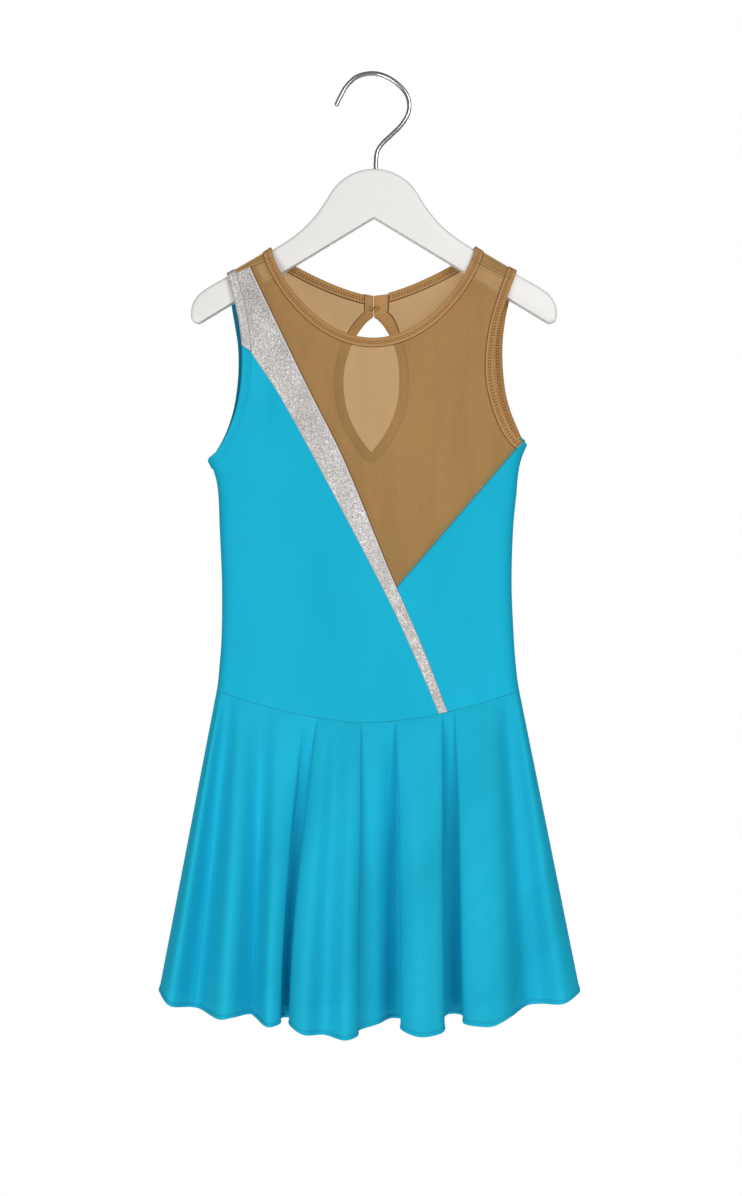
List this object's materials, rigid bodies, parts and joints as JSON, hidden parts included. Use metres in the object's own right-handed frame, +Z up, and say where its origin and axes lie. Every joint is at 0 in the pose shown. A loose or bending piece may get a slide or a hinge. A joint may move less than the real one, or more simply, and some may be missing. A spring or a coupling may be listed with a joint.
{
  "type": "figure skating dress on a hanger",
  "caption": "Sleeveless child's skating dress with a sheer yoke, a slanting glitter band and a flared skirt, hanging on a flat wooden hanger with a wire hook.",
  "frame": {"origin": "inside top of the hanger's hook, where the rail that holds it passes", "axes": "+Z up, the dress's front faces -Y, +X to the right as seen from the front"},
  "size_m": [0.3458, 0.0982, 0.7785],
  "materials": {
    "turquoise": "smooth matt nylon and elastane knit, turquoise",
    "turquoise_skirt": "thinner, slightly translucent turquoise knit",
    "tan_mesh": "sheer tan power mesh, one layer",
    "tan_band": "folded tan knit binding with twin stitching",
    "silver": "silver foil glitter on knit",
    "white_wood": "white satin paint over wood",
    "chrome": "bright plated wire"
  },
  "bodies": {
    "root": {"hanger_board": "white_wood", "hanger_hook": "chrome", "front_yoke": "tan_mesh", "front_silver_band": "silver", "front_main_panel": "turquoise", "front_side_panel": "turquoise", "back_yoke": "tan_mesh", "back_panel": "turquoise", "neck_band_front": "tan_band", "neck_band_back_left": "tan_band", "neck_band_back_right": "tan_band", "keyhole_band": "tan_band", "armhole_band_silver": "silver", "armhole_band_blue_front": "turquoise", "armhole_band_blue_back": "turquoise", "armhole_band_tan_front": "tan_band", "armhole_band_tan_back": "tan_band", "skirt_front": "turquoise_skirt", "skirt_back": "turquoise_skirt", "closure_eye": "chrome", "closure_hook": "chrome"}
  },
  "joints": []
}
